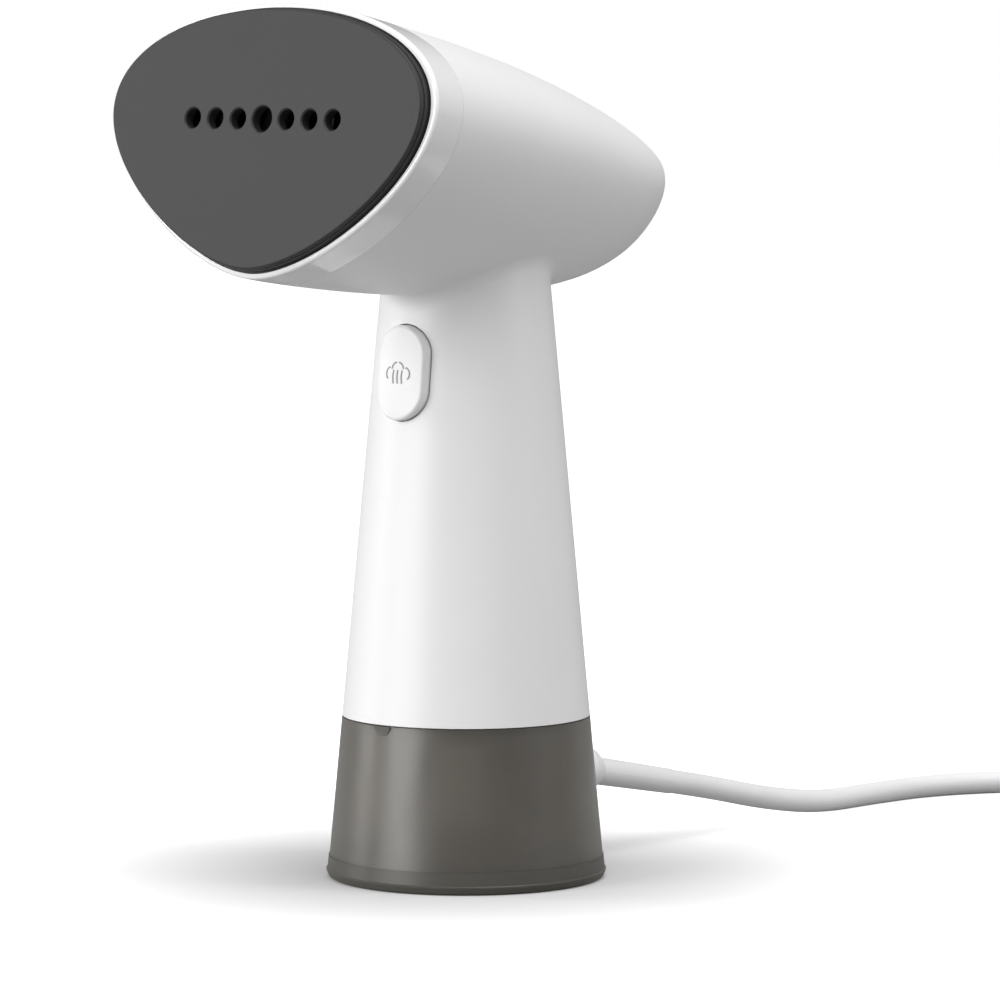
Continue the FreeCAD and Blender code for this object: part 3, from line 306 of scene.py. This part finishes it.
def add_sign(finish):
    """Thin inlaid strokes that follow the trigger's curved face."""
    low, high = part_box("trigger_button")
    face = -low.y                       # the face's radius where it stands furthest forward
    widest = low.z + (high.z - low.z) * FACE_WIDEST
    mesh = bmesh.new()

    def on_face(across, up, proud):
        height = SIGN_MIDDLE + up * MM
        radius = face - FACE_SLOPE * (height - widest) + proud * MM
        turn = across * MM / radius
        return mesh.verts.new((radius * math.sin(turn), -radius * math.cos(turn), height))

    for line in sign_lines():
        rings = []
        for index, (across, up) in enumerate(line):
            before, after = line[max(index - 1, 0)], line[min(index + 1, len(line) - 1)]
            along = Vector((after[0] - before[0], after[1] - before[1])).normalized()
            side = Vector((-along.y, along.x)) * SIGN_STROKE
            left, right = (across + side.x, up + side.y), (across - side.x, up - side.y)
            rings.append([
                on_face(*left, SIGN_ROOT), on_face(*left, SIGN_PROUD),
                on_face(*right, SIGN_PROUD), on_face(*right, SIGN_ROOT)])
        for near, far in zip(rings, rings[1:]):
            for corner in range(4):
                following = (corner + 1) % 4
                mesh.faces.new((near[corner], near[following], far[following], far[corner]))
        mesh.faces.new(rings[0])
        mesh.faces.new(list(reversed(rings[-1])))
    bmesh.ops.recalc_face_normals(mesh, faces=mesh.faces)
    data = bpy.data.meshes.new("steam_sign")
    mesh.to_mesh(data)
    mesh.free()
    sign = bpy.data.objects.new("steam_sign", data)
    bpy.context.scene.collection.objects.link(sign)
    data.materials.append(finish)
    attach(sign, "trigger")


# ---------------------------------------------------------------- the springs
def press_springs():
    """Each spring is copied as it stands, with its placing baked into the copy, and the original is hidden;
    its two ends along its axis are found but not used.
    """
    for name, body, axis in (("trigger_spring", "trigger", 1), ("pump_spring", "plunger", 2)):
        low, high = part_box(name)
        start = (Vector(low) + Vector(high)) / 2
        end = start.copy()
        start[axis], end[axis] = low[axis], high[axis]
        spring = bpy.data.objects.new("pressed_" + name, nodes[name].data.copy())
        spring.matrix_world = nodes[name].matrix_world.copy()
        bpy.context.scene.collection.objects.link(spring)
        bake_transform(spring)
        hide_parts(name)


# ---------------------------------------------------------------- the setting
def seen_white(tree, output, lit, bright):
    """Joins two shaders: lit lights the scene, and bright is what the camera sees."""
    path = tree.nodes.new("ShaderNodeLightPath")
    mix = tree.nodes.new("ShaderNodeMixShader")
    tree.links.new(path.outputs["Is Camera Ray"], mix.inputs["Fac"])
    tree.links.new(lit, mix.inputs[1])
    tree.links.new(bright, mix.inputs[2])
    tree.links.new(mix.outputs["Shader"], output.inputs["Surface"])


def table_finish():
    """White table top whose glow grows away from the object, until it runs into the white backdrop; the weak
    glow near the object paints extra shadow round the foot.
    """
    material = surface("table", (TABLE_LIT, TABLE_LIT, TABLE_LIT), 0.8, 0.004, 3.0, 300.0)
    tree = material.node_tree
    top = tree.nodes.new("ShaderNodeBsdfDiffuse")
    top.inputs["Color"].default_value = (TABLE_SEEN, TABLE_SEEN, TABLE_SEEN, 1)
    place = tree.nodes.new("ShaderNodeTexCoord")
    away = tree.nodes.new("ShaderNodeVectorMath")
    away.operation = "LENGTH"
    tree.links.new(place.outputs["Object"], away.inputs[0])
    # painted shadow: the glow is weakest at the object's middle and grows outwards, darkening the table
    # round the foot beyond its real contact shadow
    painted_shadow_fade = tree.nodes.new("ShaderNodeMapRange")
    painted_shadow_fade.interpolation_type = "SMOOTHSTEP"
    limits = {"From Min": NEAR, "From Max": FAR, "To Min": NEAR_GLOW, "To Max": FAR_GLOW}
    for socket, amount in limits.items():
        painted_shadow_fade.inputs[socket].default_value = amount
    tree.links.new(away.outputs["Value"], painted_shadow_fade.inputs["Value"])
    glow = tree.nodes.new("ShaderNodeEmission")
    tree.links.new(painted_shadow_fade.outputs["Result"], glow.inputs["Strength"])
    both = tree.nodes.new("ShaderNodeAddShader")
    tree.links.new(top.outputs["BSDF"], both.inputs[0])
    tree.links.new(glow.outputs["Emission"], both.inputs[1])
    seen_white(tree, tree.nodes["Material Output"], tree.nodes["Principled BSDF"].outputs["BSDF"],
               both.outputs["Shader"])
    return material


def add_floor():
    """A round white table top that runs out of sight, a hair below the foot."""
    data = bpy.data.meshes.new("table_top")
    mesh = bmesh.new()
    bmesh.ops.create_circle(mesh, cap_ends=True, segments=96, radius=TABLE_RADIUS)
    bmesh.ops.translate(mesh, verts=mesh.verts, vec=(0, 0, -TABLE_DROP))
    mesh.to_mesh(data)
    mesh.free()
    top = bpy.data.objects.new("table_top", data)
    bpy.context.scene.collection.objects.link(top)
    data.materials.append(table_finish())


def add_softbox(name, place, target, size, watts):
    data = bpy.data.lights.new(name, "AREA")
    data.shape = "RECTANGLE"
    data.size, data.size_y = size
    data.energy = watts
    box = bpy.data.objects.new(name, data)
    box.location = place
    box.rotation_mode = "QUATERNION"
    box.rotation_quaternion = (Vector(target) - Vector(place)).to_track_quat("-Z", "Y")
    bpy.context.scene.collection.objects.link(box)


def add_lights():
    world = bpy.data.worlds.new("studio")
    world.use_nodes = True
    tree = world.node_tree
    lit = tree.nodes["Background"]
    lit.inputs["Color"].default_value = (1, 1, 1, 1)
    lit.inputs["Strength"].default_value = ROOM_LIGHT
    backdrop = tree.nodes.new("ShaderNodeBackground")
    backdrop.inputs["Color"].default_value = (1, 1, 1, 1)
    seen_white(tree, tree.nodes["World Output"], lit.outputs["Background"], backdrop.outputs["Background"])
    bpy.context.scene.world = world
    head = (0, -0.02, 0.13)
    add_softbox("key", (-0.4, -1.3, 0.4), head, (0.8, 0.8), 12.5)
    add_softbox("left", (-1.0, -0.6, 0.35), head, (0.4, 1.2), 5.5)
    add_softbox("top", (0.4, -0.15, 1.45), head, (1.4, 1.4), 19)
    add_softbox("rim", (1.1, 0.5, 0.7), head, (0.35, 0.9), 4)


# ---------------------------------------------------------------- putting it together
NODE_SLOTS = {
    "white_casing": ["main_housing", "rear_cover", "trigger_button"],
    "white_gloss": ["front_bezel"],
    "ceramic_plate": ["steam_plate"],
    "smoked_tank": ["tank_shell"],
    "smoked_base": ["tank_base"],
    "black_rubber": ["plate_gasket", "tank_seal", "chamber_seal", "suction_hose"],
    "clear_silicone": ["inlet_hose", "outlet_hose"],
    "cast_aluminium": ["heat_shield"],
    "dark_enamel": ["steam_chamber"],
    "dark_frame": ["chamber_frame", "microswitch", "switch_plunger", "thermostat"],
    "grey_frame": ["base_cap", "chassis", "trigger_frame", "pump_body"],
    "steel": ["cover_screws", "cap_screws", "chamber_screws", "bezel_screws", "board_screws", "pump_frame",
              "pump_plunger", "pump_spring", "trigger_spring", "suction_weight", "heating_element"],
    "brass": ["heater_pins", "water_inlet", "switch_tags", "plug_pins", "thermal_fuse"],
    "copper_coil": ["pump_coil"],
    "board_green": ["control_board"],
    "relay_blue": ["board_parts"],
    "lead_white": ["cord_gland", "cord_tube", "cord_coil", "cord_tail", "plug_body"],
    "lead_inner": ["inner_lead", "heater_leads"],
}


def paint(piece, material):
    piece.data.materials.clear()
    piece.data.materials.append(material)


add_camera()
lead = add_lead()
materials = make_materials()
for slot, names in NODE_SLOTS.items():
    for name in names:
        paint(nodes[name], materials[slot])
paint(lead, materials["lead_white"])
add_sign(surface("sign_grey", (0.25, 0.25, 0.26), 0.4, 0.05))
press_springs()
add_floor()
add_lights()
